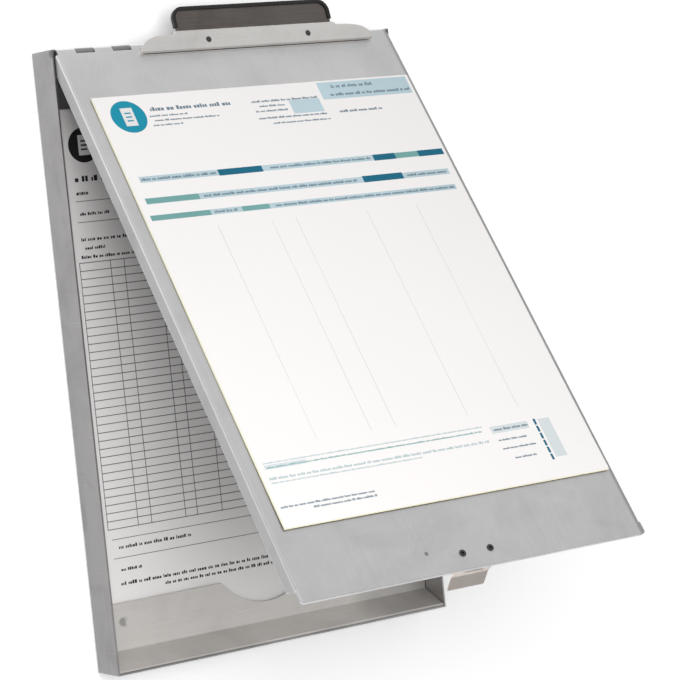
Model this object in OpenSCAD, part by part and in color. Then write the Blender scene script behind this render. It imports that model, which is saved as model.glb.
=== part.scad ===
// Aluminium form holder: a shallow tray with a top-hinged writing lid, a
// sprung paper clip at the head of the lid and a spring catch at its foot.
// The tray lies on its back: X is its width, +Y runs to the hinge, +Z is up.

/* [Tray] */
// Width over the side walls
tray_w = 230; // [200:1:300]
// Length over the end walls
tray_l = 354; // [320:1:420]
// Height of the walls over the flat back
tray_d = 25; // [22:0.5:40]
// Thickness of the tray sheet
tray_t = 1; // [0.8:0.1:1.2]
// Outside radius of the folds
fold_r = 2; // [1.6:0.1:3]

/* [Lid] */
// Angle the lid stands open
lid_angle = 33.5; // [0:0.5:90]
// Thickness of the lid sheet
lid_t = 1; // [0.8:0.1:1.2]
// Free play between a lid flange and the tray wall beside it
lid_play = 0.35; // [0.3:0.05:0.8]
// Height that the closed lid stands clear of the tray rim
lid_lift = 0.3; // [0.2:0.05:0.6]
// Reach of the lid past the foot of the tray
lid_overhang = 4; // [3:0.5:8]
// Depth of the side flanges
flange_d = 8.5; // [6:0.5:12]
// Depth of the turned lip along the foot
foot_lip_d = 2.2; // [1.6:0.1:3]
// Corner radius at the foot
lid_corner_r = 1.6; // [1:0.2:6]

/* [Hinge] */
// Diameter of the hinge pin
hinge_pin_d = 2.1; // [1.8:0.1:2.6]
// Radial clearance between a pin and the knuckles or ears it runs in
pin_clear = 0.05; // [0.02:0.01:0.1]
// Number of knuckles, an odd number, with one of the lid at each end
knuckles = 19; // [11:2:27]
// Gap between neighbouring knuckles
knuckle_gap = 0.25; // [0.2:0.05:0.5]
// Distance from each side wall to the end of the hinge
hinge_inset = 1.5; // [1.2:0.1:4]

/* [Form retainer] */
// Thickness of the retainer sheet
retainer_t = 0.8; // [0.6:0.1:1]
// Reach of the retainer from the foot of the tray
retainer_reach = 38; // [30:1:60]
// Height of its top face over the back
retainer_h = 7.2; // [6.5:0.1:10]
// Run of the sloping end from the rim down to the flat
retainer_slope = 10; // [8:0.5:14]
// Width of the thumb notch
notch_w = 62; // [40:1:90]
// Depth of the thumb notch
notch_depth = 15.5; // [8:0.5:20]
// Diameter of the two pressed dimples
dimple_d = 6; // [4:0.5:8]

/* [Clip] */
// Distance of the clip from the middle of the lid
clip_x = 19; // [-25:1:25]
// Width of the jaw
jaw_w = 158; // [120:1:180]
// Height of its rear edge over the lid
jaw_h = 5.3; // [5:0.1:6.5]
// Thickness of the jaw sheet
jaw_t = 0.8; // [0.6:0.1:1]
// Length of the rounded taper at each end of the jaw
jaw_taper = 18; // [8:1:22]
// Width of the thumb lever, without its edging
lever_w = 106.6; // [70:0.2:112]
// Reach of the lever behind the jaw
lever_reach = 13.7; // [10:0.1:16]
// Angle at which it rises
lever_angle = 18.7; // [12:0.1:24]
// Corner radius of the lever
lever_corner_r = 6.5; // [3:0.5:10]
// Thickness of the lever sheet
lever_t = 0.8; // [0.6:0.1:1]
// Width of the edging that shows on the lever
edging_w = 2.1; // [1.5:0.1:3]
// Thickness of the edging outside the lever's edge and faces
edging_t = 0.8; // [0.6:0.1:1]
// Diameter of the clip pin
clip_pin_d = 1.6; // [1.4:0.1:1.8]
// Distance between the two lever rivets
lever_rivet_gap = 68.7; // [40:0.1:80]
// Wire diameter of the torsion springs
spring_wire = 0.55; // [0.45:0.05:0.6]
// Coils in each torsion spring
spring_coils = 7; // [3:1:9]

/* [Catch] */
// Distance of the catch from the middle of the lid
catch_x = 2; // [-20:1:20]
// Width of the catch arm at the lid
catch_w = 28; // [20:1:40]
// Width of its finger tip
catch_tip_w = 24.6; // [16:0.2:28]
// Drop of the straight arm below the hinge axis
catch_drop = 12; // [11:0.5:15]
// Length of the finger tip below the straight arm
catch_tip_l = 8.6; // [6:0.1:10]
// Flare of the finger tip away from the tray
catch_flare = 3.4; // [1:0.1:6]
// Thickness of the catch strip
catch_t = 0.5; // [0.4:0.05:0.8]
// Clearance between the arm and the end of the tray
catch_play = 0.4; // [0.3:0.05:0.6]
// Distance between the two rivets of the catch
catch_rivet_gap = 18.3; // [14:0.1:22]
// Distance of these rivets from the foot edge of the lid
catch_rivet_in = 9.6; // [8:0.1:14]
// Distance from the left one to the flush rivet beside it
third_rivet_gap = 21.8; // [16:0.1:24]

/* [Forms] */
// Width of a form
form_w = 215.9; // [180:0.1:216]
// Thickness of the form set on the lid
lid_form_t = 0.6; // [0.2:0.1:2]
// Bare lid between the hinge axis and the head of its form
lid_form_head = 34.8; // [12:0.2:40]
// Bare lid between the foot of the form and the foot of the lid
lid_form_foot = 41.7; // [30:0.1:50]
// Distance that this form lies to the right of the middle
lid_form_x = 3.4; // [-4:0.1:4]
// Height of the stack kept in the tray
stored_t = 3; // [0.5:0.1:4]
// Distance from the foot of the tray to the foot of the stack
stored_foot = 16; // [12:0.5:30]
// Distance from the head of the stack to the head of the tray
stored_head = 33.2; // [20:0.1:40]

/* [Hidden] */
$fn = 48;

// Small allowance that makes a cut run past a face
cut = 1;

// Hinge: the lid sheet and the tray's end wall both curl round one pin.
knuckle_in = hinge_pin_d / 2 + pin_clear;
knuckle_r = knuckle_in + max(tray_t, lid_t);
hinge_y = tray_l / 2 - knuckle_r;
hinge_z = tray_d + lid_lift - (knuckle_r - lid_t);
hinge_w = tray_w - 2 * (tray_t + hinge_inset);
knuckle_pitch = hinge_w / knuckles;
// Clear space kept round the curls of the other leaf
curl_clear = 0.4;
curl_seam = 0.3;

// Lid, in its own frame: the origin is on the hinge axis, and the closed
// lid runs along -Y with its top face at lid_top.
lid_top = knuckle_r;
lid_under = lid_top - lid_t;
lid_half = tray_w / 2 - tray_t - lid_play;
lid_foot = -(hinge_y + tray_l / 2 + lid_overhang);
lid_fold_r = 1.8;
// Outer and inner face of the tray's foot wall in the lid's frame
wall_out = -(hinge_y + tray_l / 2);
wall_in = wall_out + tray_t;
// The sheet stops short of the tray's curls, and the flanges a little more
lid_head = -knuckle_r - curl_clear;
flange_head = lid_head - 0.2;
// The flanges also stop short of the sloping retainer
flange_slope_gap = 0.7;

// Retainer: seen from the side, a flange on the end wall, a fold over the
// rim, the slope, and the flat that holds the forms down.
retainer_foot = -tray_l / 2 + tray_t;
retainer_half = tray_w / 2 - tray_t - 0.3;
rim_fold_r = 0.45;
retainer_path = [[retainer_foot + retainer_t / 2, tray_d / 2],
                 [retainer_foot + retainer_t / 2, tray_d + 0.8],
                 [retainer_foot + retainer_slope - retainer_t / 2, retainer_h - retainer_t / 2],
                 [-tray_l / 2 + retainer_reach, retainer_h - retainer_t / 2]];
notch_r = (pow(notch_w / 2, 2) + pow(notch_depth, 2)) / (2 * notch_depth);
retainer_rivet_x = [for (side = [-1, 1], share = [0.48, 0.85]) side * share * tray_w / 2];
retainer_rivet_z = tray_d * 0.6;
rivet_r = 1.2;
rivet_head_r = 2.4;
rivet_head_t = 0.8;

// Catch, in the lid's frame
catch_face = wall_out - catch_play;
catch_mid = catch_face - catch_t / 2;
catch_plate_z = lid_under - catch_t;
catch_knee_r = 0.6;
catch_knee_z = lid_under - catch_knee_r - 0.1;
catch_tip = [catch_mid - catch_flare, -catch_drop - catch_tip_l];
catch_rivet_y = lid_foot + catch_rivet_in;
third_rivet = [-catch_rivet_gap / 2 - third_rivet_gap, catch_rivet_y + rivet_r * 3];
catch_plate_edge = rivet_r * 4;
bead_r = 1.2;
bead_reach = 0.9;
bead_y = wall_out + bead_reach - bead_r;
bead_z = -catch_drop + 4;
bead_w = 12;
slot_h = 3.6;
slot_w = 16;
notch_play = 2;

// Clip, in the lid's frame, where Y and Z are the side view
jaw_rear = [4.8, lid_top + jaw_h - jaw_t / 2];
jaw_knee = jaw_rear - [4.2, 0.3];
jaw_bend = jaw_rear - [11.1, 2.8];
jaw_lip = jaw_bend - [0, 1];
jaw_path = [jaw_lip, jaw_bend, jaw_knee, jaw_rear];
jaw_dir = unit(jaw_knee - jaw_bend);
jaw_normal = [-jaw_dir[1], jaw_dir[0]];
jaw_angle = atan2(jaw_dir[1], jaw_dir[0]);
rear_dir = unit(jaw_rear - jaw_knee);
rear_normal = [-rear_dir[1], rear_dir[0]];
// The shoulders beside the lever are set back from its rear edge
jaw_shoulder = jaw_rear[0] - 2;
jaw_shoulder_x = lever_w / 2 + 1.7;
// Pin under the jaw, behind the hinge
clip_axis = [3, jaw_rear[1] - 3];
ear_r = clip_pin_d / 2 + 0.6;
ear_t = 0.8;
ear_play = 0.4;
base_t = 0.6;
base_front = jaw_lip[0] - jaw_t / 2 - 0.8;
base_rear = -1.6;
base_ear_x = lever_w / 2 - ear_play - ear_t / 2;
jaw_ear_x = lever_w / 2 + 0.15 + ear_t / 2;
base_rivet_y = -4.3;
base_rivet_x = [-60, -20, 20, 60];
// The lever follows the jaw's underside, then rises behind it
sheets = (jaw_t + lever_t) / 2 + 0.01;
lever_front = jaw_bend + jaw_dir * 3.2 - jaw_normal * sheets;
lever_under = jaw_knee - (jaw_normal + rear_normal) * sheets / (1 + jaw_normal * rear_normal);
lever_knee = jaw_rear + rear_dir * 0.45 - rear_normal * sheets;
lever_tip = lever_knee + lever_reach * [cos(lever_angle), sin(lever_angle)];
lever_path = [lever_front, lever_under, lever_knee, lever_tip];
lever_rivet_at = 5.1;
edging_start = 2.2;
// Torsion springs: the front leg rests on the foot strip, the rear leg
// bears on the underside of the lever.
spring_r = clip_pin_d / 2 + 0.15 + spring_wire / 2;
spring_x = 16;
spring_pitch = spring_wire * 1.08;
spring_front = [-3.2, lid_top + base_t + spring_wire / 2 + 0.4];
spring_rear = lever_knee + 4.5 * [cos(lever_angle), sin(lever_angle)]
              + (lever_t / 2 + spring_wire / 2 + 0.15) * [sin(lever_angle), -cos(lever_angle)];

function unit(v) = v / norm(v);

// Points on the rounded bend at corner i of path p, with centre-line radius r
function bend(p, i, r, n) =
    let (u = unit(p[i] - p[i - 1]), v = unit(p[i + 1] - p[i]),
         side = sign(cross(u, v)), turn = acos(u * v),
         start = p[i] - u * r * tan(turn / 2), centre = start + side * r * [-u[1], u[0]],
         from = start - centre)
    [for (k = [0 : n]) let (a = side * turn * k / n)
        centre + [from[0] * cos(a) - from[1] * sin(a), from[0] * sin(a) + from[1] * cos(a)]];

function rounded(p, r, n = 5) =
    concat([p[0]], [for (i = [1 : len(p) - 2]) each bend(p, i, r, n)], [p[len(p) - 1]]);

// One edge of a strip of half thickness h that follows p
function edge(p, h) = [for (i = [0 : len(p) - 1])
    let (u = unit(p[min(i + 1, len(p) - 1)] - p[min(i, len(p) - 2)]),
         v = unit(p[max(i, 1)] - p[max(i - 1, 0)]), m = unit([-u[1], u[0]] + [-v[1], v[0]]))
    p[i] + m * h / (m * [-v[1], v[0]])];

function reversed(p) = [for (i = [len(p) - 1 : -1 : 0]) p[i]];

// Side view of a bent sheet of thickness t
module bent_strip(p, t, r) {
    line = rounded(p, r);
    polygon(concat(edge(line, t / 2), reversed(edge(line, -t / 2))));
}

// Stretches a side view (Y, Z) along X
module along_x(x0, x1) {
    translate([x0, 0, 0]) rotate([90, 0, 90]) linear_extrude(x1 - x0) children();
}

// Stretches an end view (X, Z) along Y
module along_y(y0, y1) {
    translate([0, y1, 0]) rotate([90, 0, 0]) linear_extrude(y1 - y0) children();
}

module rod(axis, r, x0, x1) {
    translate([x0, axis[0], axis[1]]) rotate([0, 90, 0]) cylinder(r = r, h = x1 - x0);
}

// Box outline with rounded lower corners, standing on Z = 0
module tub_outline(w, h, r) {
    translate([-w / 2, r]) square([w, h - r]);
    translate([-w / 2 + r, 0]) square([w - 2 * r, h]);
    for (side = [-1, 1]) translate([side * (w / 2 - r), r]) circle(r);
}

module tub(w, l, h, r) {
    intersection() {
        along_y(-l / 2, l / 2) tub_outline(w, h, r);
        along_x(-w / 2, w / 2) tub_outline(l, h, r);
    }
}

// A wire of radius r along points that never run along X
module wire(points, r, sides = 8) {
    last = len(points) - 1;
    rings = [for (i = [0 : last])
        let (t = unit(points[min(i + 1, last)] - points[max(i - 1, 0)]),
             a = unit(cross(t, [1, 0, 0])), b = cross(a, t))
        each [for (k = [0 : sides - 1]) points[i] + r * (cos(360 * k / sides) * a + sin(360 * k / sides) * b)]];
    skin = [for (i = [0 : last - 1], k = [0 : sides - 1]) let (n = (k + 1) % sides)
        each [[i * sides + k, i * sides + n, (i + 1) * sides + k],
              [i * sides + n, (i + 1) * sides + n, (i + 1) * sides + k]]];
    ends = [[for (k = [sides - 1 : -1 : 0]) k], [for (k = [0 : sides - 1]) last * sides + k]];
    polyhedron(rings, concat(skin, ends));
}

// Puts what is drawn in the lid's frame on the open lid
module on_lid() {
    translate([0, hinge_y, hinge_z]) rotate([-lid_angle, 0, 0]) children();
}

// Start and end of knuckle i along X
function knuckle_from(i) = -hinge_w / 2 + i * knuckle_pitch + knuckle_gap / 2;
function knuckle_to(i) = knuckle_from(i) + knuckle_pitch - knuckle_gap;

// Side view of a curl round the hinge pin. Its sheet comes up from below at
// the outer side, and the curl's free end stops a seam short of that sheet.
module curl_outline() {
    difference() {
        circle(knuckle_r);
        circle(knuckle_in);
        translate([knuckle_in - curl_seam, -knuckle_r - cut]) square([knuckle_r, knuckle_r + cut]);
    }
}

// ---------------------------------------------------------------- Tray

// Folded pan. Its head wall carries every second knuckle of the hinge.
module tray_pan() {
    head_wall_top = hinge_z - knuckle_r - curl_clear;
    color([0.72, 0.72, 0.73]) difference() {
        union() {
            difference() {
                tub(tray_w, tray_l, tray_d, fold_r);
                translate([0, 0, tray_t])
                    tub(tray_w - 2 * tray_t, tray_l - 2 * tray_t, tray_d, fold_r - tray_t);
                translate([-hinge_w / 2 - knuckle_gap, tray_l / 2 - tray_t - cut, head_wall_top])
                    cube([hinge_w + 2 * knuckle_gap, tray_t + 2 * cut, tray_d]);
            }
            for (i = [1 : 2 : knuckles - 2]) {
                along_x(knuckle_from(i), knuckle_to(i)) {
                    translate([hinge_y, hinge_z]) curl_outline();
                    translate([tray_l / 2 - tray_t, head_wall_top - tray_t])
                        square([tray_t, hinge_z - head_wall_top + tray_t]);
                }
            }
        }
        // Slot that the catch springs into, and the notch that clears its plate
        translate([catch_x - slot_w / 2, -tray_l / 2 - cut, hinge_z + bead_z - slot_h / 2])
            cube([slot_w, tray_t + 2 * cut, slot_h]);
        catch_notch();
        for (x = retainer_rivet_x) retainer_rivet_hole(x);
    }
}

module catch_notch() {
    depth = catch_t - lid_lift + 0.3;
    translate([catch_x - catch_w / 2 - notch_play, -tray_l / 2 - cut, tray_d - depth])
        cube([catch_w + 2 * notch_play, tray_t + retainer_t + 2 * cut, tray_d]);
}

module retainer_rivet_hole(x) {
    translate([x, -tray_l / 2 - cut, retainer_rivet_z]) rotate([-90, 0, 0])
        cylinder(r = rivet_r, h = tray_t + retainer_t + 2 * cut);
}

// Bent plate over the foot of the tray, which the forms slide under
module form_retainer() {
    dimple_r = (pow(dimple_d / 2, 2) + 1) / 2;
    color([0.75, 0.74, 0.72]) difference() {
        union() {
            along_x(-retainer_half, retainer_half) bent_strip(retainer_path, retainer_t, rim_fold_r);
            for (side = [-1, 1]) dimple(side, dimple_r, retainer_h - retainer_t);
        }
        for (side = [-1, 1]) dimple(side, dimple_r, retainer_h);
        translate([0, -tray_l / 2 + retainer_reach - notch_depth + notch_r, 0])
            cylinder(r = notch_r, h = tray_d, $fn = 128);
        // Clears the catch slot, and lets the catch plate down
        translate([catch_x - slot_w / 2 - 2, retainer_foot - cut, 0])
            cube([slot_w + 4, retainer_t + 1.5 * cut, hinge_z + bead_z + slot_h / 2 + 1]);
        catch_notch();
        for (x = retainer_rivet_x) retainer_rivet_hole(x);
    }
}

// Shallow spherical dimple, 1 mm deep, hanging from height top
module dimple(side, r, top) {
    translate([side * (tray_w / 2 - 17.1), -tray_l / 2 + 27, 0]) intersection() {
        translate([0, 0, top - 1 + r]) sphere(r);
        translate([0, 0, top - 2]) cylinder(r = dimple_d, h = 2);
    }
}

module retainer_rivets() {
    color([0.78, 0.78, 0.78]) for (x = retainer_rivet_x)
        translate([x, -tray_l / 2, retainer_rivet_z]) rotate([-90, 0, 0]) {
            cylinder(r = rivet_r, h = tray_t + retainer_t);
            rotate([180, 0, 0]) domed_head(rivet_head_r, rivet_head_t);
            translate([0, 0, tray_t + retainer_t]) domed_head(rivet_head_r - 0.4, rivet_head_t - 0.1);
        }
}

// Low domed rivet head on Z = 0
module domed_head(r, h) {
    dome = (r * r + h * h) / (2 * h);
    intersection() {
        translate([0, 0, h - dome]) sphere(dome);
        cylinder(r = r, h = h);
    }
}

module hinge_pin() {
    color([0.6, 0.6, 0.6])
        rod([hinge_y, hinge_z], hinge_pin_d / 2, -hinge_w / 2 + knuckle_gap / 2, hinge_w / 2 - knuckle_gap / 2);
}

// Stack of forms on the back of the tray, tucked under the retainer
module stored_forms() {
    color([0.93, 0.92, 0.9])
        translate([-form_w / 2, -tray_l / 2 + stored_foot, tray_t])
            cube([form_w, tray_l - stored_foot - stored_head, stored_t]);
}

// ---------------------------------------------------------------- Lid

// End view of the flanged sheet: the top and its two turned-down sides
module lid_section() {
    translate([0, lid_top]) mirror([0, 1]) difference() {
        tub_outline(2 * lid_half, flange_d, lid_fold_r);
        translate([0, lid_t]) tub_outline(2 * (lid_half - lid_t), flange_d, lid_fold_r - lid_t);
    }
}

// Plan of the flat sheet beyond the flanges: a strip beside the curls, and
// the foot with its round corners
module lid_ends() {
    straight = slope_y(lid_top - lid_fold_r) - lid_foot - lid_corner_r;
    translate([-hinge_w / 2 + knuckle_gap / 2, flange_head]) square([hinge_w - knuckle_gap, lid_head - flange_head]);
    translate([-lid_half, lid_foot + lid_corner_r]) square([2 * lid_half, straight]);
    translate([-lid_half + lid_corner_r, lid_foot]) square([2 * (lid_half - lid_corner_r), lid_corner_r]);
    for (side = [-1, 1])
        translate([side * (lid_half - lid_corner_r), lid_foot + lid_corner_r]) circle(lid_corner_r);
}

// Line of the retainer's slope in the lid's frame, at a height z over the hinge plane
function slope_y(z) =
    let (rim = retainer_path[1] - [hinge_y, hinge_z], low = retainer_path[2] - [hinge_y, hinge_z])
    rim[0] + (low[0] - rim[0]) * (z - rim[1]) / (low[1] - rim[1]) + retainer_t / 2 + flange_slope_gap;

// Writing plate with its flanges, foot lip and every other hinge knuckle
module lid_panel() {
    flange_low = lid_top - flange_d;
    fold_low = lid_top - lid_fold_r;
    color([0.74, 0.74, 0.76]) on_lid() difference() {
        union() {
            difference() {
                along_y(slope_y(fold_low), flange_head) lid_section();
                along_x(-lid_half - cut, lid_half + cut)
                    polygon([[slope_y(fold_low) - cut, fold_low], [slope_y(fold_low), fold_low],
                             [slope_y(flange_low - cut), flange_low - cut],
                             [slope_y(fold_low) - cut, flange_low - cut]]);
            }
            translate([0, 0, lid_under]) linear_extrude(lid_t) lid_ends();
            // Lip turned down along the foot
            translate([-lid_half + lid_corner_r, lid_foot, lid_top - foot_lip_d])
                cube([2 * (lid_half - lid_corner_r), lid_t, foot_lip_d]);
            for (i = [0 : 2 : knuckles - 1])
                along_x(knuckle_from(i), knuckle_to(i)) {
                    mirror([1, 0]) rotate(90) curl_outline();
                    translate([lid_head - lid_t, lid_under]) square([lid_t - lid_head, lid_t]);
                }
        }
        for (side = [-1, 1])
            drill([catch_x + side * catch_rivet_gap / 2, catch_rivet_y], rivet_r);
        drill([catch_x + third_rivet[0], third_rivet[1]], rivet_r);
        for (x = base_rivet_x) drill([clip_x + x, base_rivet_y], rivet_r);
    }
}

// Hole straight through the sheets of the lid, in the lid's frame
module drill(at, r) {
    translate([at[0], at[1], -4 * cut]) cylinder(r = r, h = lid_top + 8 * cut);
}

module writing_form() {
    color([0.96, 0.95, 0.93]) on_lid()
        translate([lid_form_x - form_w / 2, lid_foot + lid_form_foot, lid_top])
            cube([form_w, -lid_foot - lid_form_foot - lid_form_head, lid_form_t]);
}

// ---------------------------------------------------------------- Catch

// Backing plate under the foot of the lid
module catch_plate() {
    right = catch_w / 2;
    left = third_rivet[0] - catch_plate_edge;
    head = third_rivet[1] + catch_plate_edge;
    // Clears the retainer's fold over the rim when the lid is shut
    foot = wall_in + retainer_t + 1.5;
    tongue = catch_mid + catch_knee_r + 0.3;
    color([0.66, 0.63, 0.6]) on_lid() difference() {
        translate([catch_x, 0, catch_plate_z]) linear_extrude(catch_t) difference() {
            union() {
                translate([left, foot]) square([right - left, head - foot]);
                // Tongue over the wall, up to the top of the catch arm
                translate([-right, tongue]) square([2 * right, foot - tongue + rivet_r]);
            }
            // Cropped corners
            for (corner = [[left, head], [left, foot], [right, head]])
                translate(corner) rotate(45) square(catch_plate_edge, center = true);
        }
        for (side = [-1, 1])
            drill([catch_x + side * catch_rivet_gap / 2, catch_rivet_y], rivet_r);
        drill([catch_x + third_rivet[0], third_rivet[1]], rivet_r);
    }
}

// Two tubular rivets with open heads
module catch_rivets() {
    color([0.45, 0.44, 0.43]) on_lid() for (side = [-1, 1])
        translate([catch_x + side * catch_rivet_gap / 2, catch_rivet_y, 0]) difference() {
            union() {
                translate([0, 0, catch_plate_z]) cylinder(r = rivet_r, h = lid_top - catch_plate_z);
                translate([0, 0, lid_top]) cylinder(r = 2, h = 0.35);
                translate([0, 0, catch_plate_z]) rotate([180, 0, 0]) domed_head(2.1, 0.7);
            }
            translate([0, 0, lid_top - 0.9]) cylinder(r = 0.8, h = 2);
        }
}

// Rivet at the far end of the backing plate, flush with the lid
module catch_flush_rivet() {
    color([0.72, 0.72, 0.73]) on_lid()
        translate([catch_x + third_rivet[0], third_rivet[1], catch_plate_z]) {
            cylinder(r = rivet_r, h = lid_top - catch_plate_z);
            rotate([180, 0, 0]) domed_head(2.1, 0.7);
        }
}

// Springy arm with a pressed bead that snaps into the tray's slot
module catch_arm() {
    path = [[catch_mid, catch_knee_z], [catch_mid, -catch_drop], catch_tip];
    low = catch_tip[1] - cut;
    shoulder = bead_z + bead_r + 3;
    color([0.71, 0.66, 0.64]) on_lid() translate([catch_x, 0, 0]) {
        intersection() {
            along_x(-catch_w / 2, catch_w / 2) bent_strip(path, catch_t, 2);
            along_y(catch_tip[0] - 3, catch_face + 3)
                polygon([[-catch_w / 2, cut], [catch_w / 2, cut], [catch_w / 2, shoulder],
                         [catch_tip_w / 2, shoulder - 2], [catch_tip_w / 2, catch_tip[1] + 1],
                         [catch_tip_w / 2 - 1, low], [-catch_tip_w / 2 + 1, low],
                         [-catch_tip_w / 2, catch_tip[1] + 1], [-catch_tip_w / 2, shoulder - 2],
                         [-catch_w / 2, shoulder]]);
        }
        rod([catch_mid, catch_knee_z], catch_knee_r, -catch_w / 2, catch_w / 2);
        rod([bead_y, bead_z], bead_r, -bead_w / 2, bead_w / 2);
    }
}

// ---------------------------------------------------------------- Clip

// Foot strip with two ears, riveted along the head of the lid
module clip_base() {
    color([0.55, 0.54, 0.53]) on_lid() translate([clip_x, 0, 0]) difference() {
        union() {
            translate([-jaw_w / 2 + 0.5, base_front, lid_top])
                cube([jaw_w - 1, base_rear - base_front, base_t]);
            for (side = [-1, 1])
                along_x(side * base_ear_x - ear_t / 2, side * base_ear_x + ear_t / 2) {
                    translate(clip_axis) circle(ear_r);
                    polygon([[base_front + 3, lid_top + base_t / 2], [base_rear - 0.6, lid_top + base_t / 2],
                             [base_rear, lid_top + base_t], clip_axis + ear_r * [-0.1, -0.995],
                             clip_axis + ear_r * [-0.3, 0.954]]);
                }
        }
        rod(clip_axis, clip_pin_d / 2 + pin_clear, -base_ear_x - 2, base_ear_x + 2);
        for (x = base_rivet_x)
            translate([x, base_rivet_y, lid_under]) cylinder(r = rivet_r, h = lid_top);
    }
}

// Flush rivets, upset under the lid
module clip_base_rivets() {
    color([0.7, 0.7, 0.7]) on_lid() for (x = base_rivet_x)
        translate([clip_x + x, base_rivet_y, lid_under]) {
            cylinder(r = rivet_r, h = lid_t + base_t);
            rotate([180, 0, 0]) domed_head(1.7, 0.7);
        }
}

module clip_pin() {
    reach = jaw_ear_x + ear_t / 2 + 0.3;
    color([0.6, 0.6, 0.6]) on_lid() translate([clip_x, 0, 0]) {
        rod(clip_axis, clip_pin_d / 2, -reach, reach);
        for (side = [-1, 1])
            translate([side * reach, clip_axis[0], clip_axis[1]]) rotate([0, side * 90, 0])
                domed_head(clip_pin_d * 0.8, clip_pin_d * 0.35);
    }
}

// Torsion spring on the clip pin, between its two straight legs
module torsion_spring(x) {
    steps = 14;
    last = steps * spring_coils;
    width = spring_pitch * spring_coils;
    front = spring_front - clip_axis;
    rear = spring_rear - clip_axis;
    // Both legs leave the coil as tangents at its foot
    start = atan2(front[1], front[0]) + acos(spring_r / norm(front));
    finish = atan2(rear[1], rear[0]) - acos(spring_r / norm(rear));
    turn = 360 * spring_coils + finish - start;
    on_lid() translate([clip_x + x, clip_axis[0], clip_axis[1]])
        wire(concat([[-width / 2, front[0], front[1]]],
                    [for (i = [0 : last]) let (a = start + turn * i / last)
                        [width * (i / last - 0.5), spring_r * cos(a), spring_r * sin(a)]],
                    [[width / 2, rear[0], rear[1]]]),
             spring_wire / 2);
}

module spring_left() {
    color([0.5, 0.5, 0.52]) torsion_spring(-spring_x);
}

module spring_right() {
    color([0.5, 0.5, 0.52]) torsion_spring(spring_x);
}

// Point at distance d up the jaw's slope, at depth n under its middle line
function on_jaw(d, n) = jaw_bend + jaw_dir * d - jaw_normal * n;

// Plan of the jaw: a straight rear edge over the lever, set-back shoulders
// and a rounded taper at each end.
module jaw_plan() {
    half = jaw_w / 2;
    front = jaw_lip[0] - 2 * cut;
    taper_front = jaw_bend[0] + 1.3;
    for (side = [0, 1]) mirror([side, 0])
        polygon(concat([[-cut, front], [-cut, jaw_rear[0] + cut], [jaw_shoulder_x, jaw_rear[0] + cut],
                        [jaw_shoulder_x + 0.6, jaw_shoulder]],
                       [for (a = [0 : 10 : 90])
                           [half - jaw_taper * (1 - sin(a)), taper_front + (jaw_shoulder - taper_front) * cos(a)]],
                       [[half, front]]));
}

// Pressed jaw: a front lip, a low sloping face with tapered ends, and two ears
module clip_jaw() {
    color([0.84, 0.83, 0.82]) on_lid() translate([clip_x, 0, 0]) difference() {
        union() {
            intersection() {
                along_x(-jaw_w / 2, jaw_w / 2) bent_strip(jaw_path, jaw_t, 0.7);
                linear_extrude(2 * jaw_h + lid_top) jaw_plan();
            }
            for (side = [-1, 1])
                along_x(side * jaw_ear_x - ear_t / 2, side * jaw_ear_x + ear_t / 2) {
                    translate(clip_axis) circle(ear_r);
                    polygon([[clip_axis[0] - ear_r, clip_axis[1]], [clip_axis[0] - ear_r, jaw_rear[1] - 0.05],
                             [clip_axis[0] + ear_r, jaw_rear[1]], [clip_axis[0] + ear_r, clip_axis[1]]]);
                }
        }
        rod(clip_axis, clip_pin_d / 2 + pin_clear, -jaw_w, jaw_w);
        for (side = [-1, 1]) lever_rivet_hole(side);
    }
}

module lever_rivet_hole(side) {
    at = on_jaw(lever_rivet_at, 0);
    translate([side * lever_rivet_gap / 2, at[0], at[1]]) rotate([jaw_angle, 0, 0])
        translate([0, 0, -3]) cylinder(r = rivet_r, h = 6);
}

// Height of the underside of the jaw's slope at y
function jaw_under(y) = jaw_bend[1] + (y - jaw_bend[0]) * tan(jaw_angle) - jaw_t / 2 / cos(jaw_angle);

// Rubber strip behind the lip of the jaw
module jaw_grip() {
    back = jaw_lip[0] + jaw_t / 2;
    low = lid_top + base_t + 0.3;
    color([0.2, 0.2, 0.2]) on_lid() translate([clip_x, 0, 0])
        along_x(-jaw_w / 2 + 1, jaw_w / 2 - 1)
            polygon([[back + 0.02, low], [back + 1.2, low], [back + 1.2, jaw_under(back + 1.2) - 0.03],
                     [back + 0.4, jaw_under(back + 0.4) - 0.03], [back + 0.02, jaw_under(back) - 0.35]]);
}

// Places what is drawn in the plane of the lever's free part: X is its
// width, Y runs from the knee to the tip, and Z = 0 is mid sheet.
module on_lever() {
    on_lid() translate([clip_x, lever_knee[0], lever_knee[1]]) rotate([lever_angle, 0, 0]) children();
}

// Outline of the free part from y0 to the tip, grown on three sides by g
module lever_outline(y0, g) {
    half = lever_w / 2 + g;
    end = lever_reach + g;
    r = lever_corner_r + g;
    intersection() {
        translate([-half, y0]) square([2 * half, end - y0]);
        union() {
            translate([-half, y0]) square([2 * half, end - r - y0]);
            translate([-half + r, y0]) square([2 * (half - r), end - y0]);
            for (side = [-1, 1]) translate([side * (half - r), end - r]) circle(r);
        }
    }
}

// Thumb lever: riveted under the jaw, then out over the head of the lid
module clip_lever() {
    half = lever_w / 2;
    color([0.36, 0.34, 0.33]) difference() {
        on_lid() translate([clip_x, 0, 0]) along_x(-half, half) bent_strip(lever_path, lever_t, 1.2);
        // Waste outside the round corners
        on_lever() translate([0, 0, -lever_t]) linear_extrude(2 * lever_t) difference() {
            translate([-half - cut, lever_reach - lever_corner_r]) square([2 * half + 2 * cut, lever_corner_r + cut]);
            lever_outline(0, 0);
        }
        for (side = [-1, 1]) on_lid() translate([clip_x, 0, 0]) lever_rivet_hole(side);
    }
}

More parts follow.
